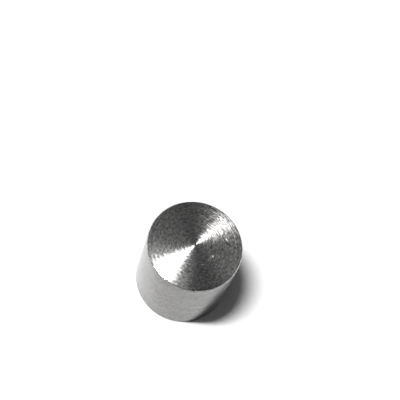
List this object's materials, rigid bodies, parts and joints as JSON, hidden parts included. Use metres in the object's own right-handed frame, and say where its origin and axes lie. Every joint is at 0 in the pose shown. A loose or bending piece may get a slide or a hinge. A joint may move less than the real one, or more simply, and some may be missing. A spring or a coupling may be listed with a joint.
{
  "type": "cord end cap",
  "caption": "Plain cylindrical end cap for a round leather cord: a turned stainless steel cup with a slightly domed, concentrically turned closed face and a blind bore.",
  "frame": {"origin": "centre of the open rim, in the plane that the cap stands on", "axes": "+Z along the turning axis, from the open rim to the closed face; the cap is round, so X and Y have no preferred direction"},
  "size_m": [0.007, 0.007, 0.007],
  "materials": {
    "turned_steel": "bright stainless steel straight from the lathe: fine turning rings on the face and round the side, a few small dents from handling, no polish and no plating"
  },
  "bodies": {
    "root": {"end_cap": "turned_steel"}
  },
  "joints": []
}
